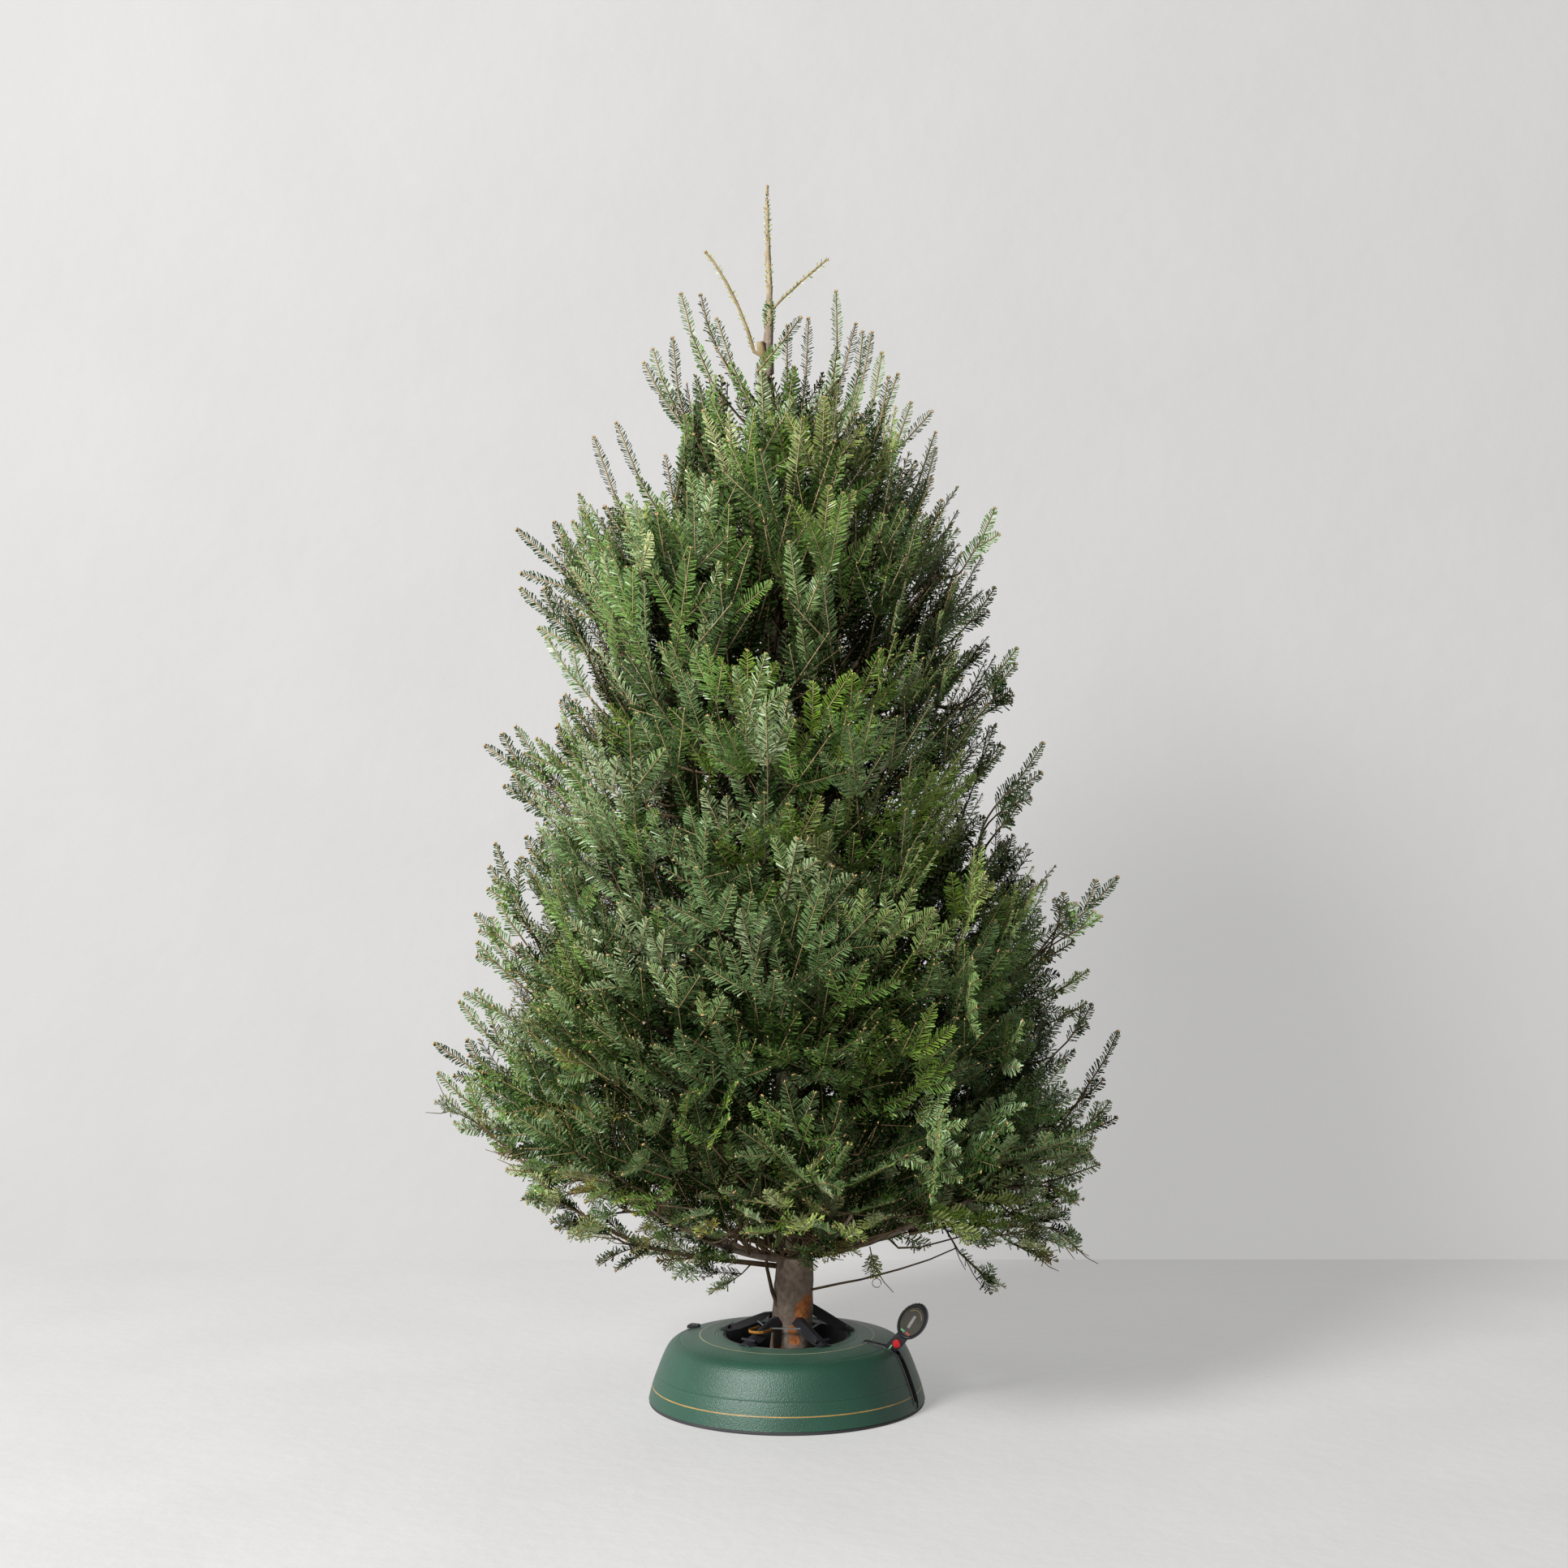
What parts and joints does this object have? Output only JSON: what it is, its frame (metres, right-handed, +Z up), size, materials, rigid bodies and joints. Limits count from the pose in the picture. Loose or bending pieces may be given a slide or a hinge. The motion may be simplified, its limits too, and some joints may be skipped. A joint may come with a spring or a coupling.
{
  "type": "christmas tree in a stand",
  "caption": "Cut fir tree with upswept tiers of flat needle sprays and a bare leader, clamped by claws in a round green stand with a foot lever.",
  "frame": {"origin": "centre of the stand's flat underside, on the floor", "axes": "+Z up along the trunk, the pictured front faces -Y, +X to the right of it"},
  "size_m": [1.1963, 1.084, 2.075],
  "materials": {
    "bark": "rough grey-brown bark with reddish mottling",
    "young_bark": "smooth tan young bark",
    "green_needles": "waxy deep green needles",
    "blue_green_needles": "waxy blue-green needles",
    "olive_needles": "waxy olive needles, some yellowing",
    "green_plastic": "satin dark green moulded plastic with a fine texture",
    "base_plastic": "matt dark grey plastic",
    "black_plastic": "satin black moulded plastic",
    "steel_cable": "bright twisted steel cable",
    "red_plastic": "glossy red plastic"
  },
  "bodies": {
    "root": {"bough_lower_1": "bark", "bough_lower_2": "bark", "bough_lower_3": "bark", "bough_lower_4": "bark", "bough_lower_5": "bark", "bough_middle_1": "bark", "bough_middle_2": "bark", "bough_middle_3": "bark", "bough_middle_4": "bark", "bough_skirt_1": "bark", "bough_skirt_2": "bark", "bough_skirt_3": "bark", "bough_skirt_4": "bark", "bough_skirt_5": "bark", "bough_skirt_6": "bark", "clamp_cable": "steel_cable", "claw_1": "black_plastic", "claw_2": "black_plastic", "claw_3": "black_plastic", "claw_4": "black_plastic", "claw_5": "black_plastic", "foliage_lower_1": "green_needles", "foliage_lower_2": "green_needles", "foliage_lower_3": "blue_green_needles", "foliage_lower_4": "blue_green_needles", "foliage_lower_5": "green_needles", "foliage_middle_1": "green_needles", "foliage_middle_2": "blue_green_needles", "foliage_middle_3": "blue_green_needles", "foliage_middle_4": "green_needles", "foliage_shoulder_1": "green_needles", "foliage_shoulder_2": "green_needles", "foliage_shoulder_3": "green_needles", "foliage_skirt_1": "olive_needles", "foliage_skirt_2": "olive_needles", "foliage_skirt_3": "olive_needles", "foliage_skirt_4": "olive_needles", "foliage_skirt_5": "olive_needles", "foliage_skirt_6": "olive_needles", "foliage_top_1": "green_needles", "foliage_top_2": "green_needles", "foliage_top_3": "green_needles", "foliage_upper_1": "green_needles", "foliage_upper_2": "green_needles", "foliage_upper_3": "green_needles", "foliage_waist_1": "green_needles", "foliage_waist_2": "green_needles", "foliage_waist_3": "blue_green_needles", "foliage_waist_4": "green_needles", "foot_lever": "black_plastic", "lever_button": "red_plastic", "shoot_left": "young_bark", "shoot_right": "young_bark", "shoulder_catch": "black_plastic", "slot_lining": "black_plastic", "stand_base": "base_plastic", "stand_shell": "green_plastic", "trunk": "bark", "water_tank": "black_plastic"}
  },
  "joints": []
}
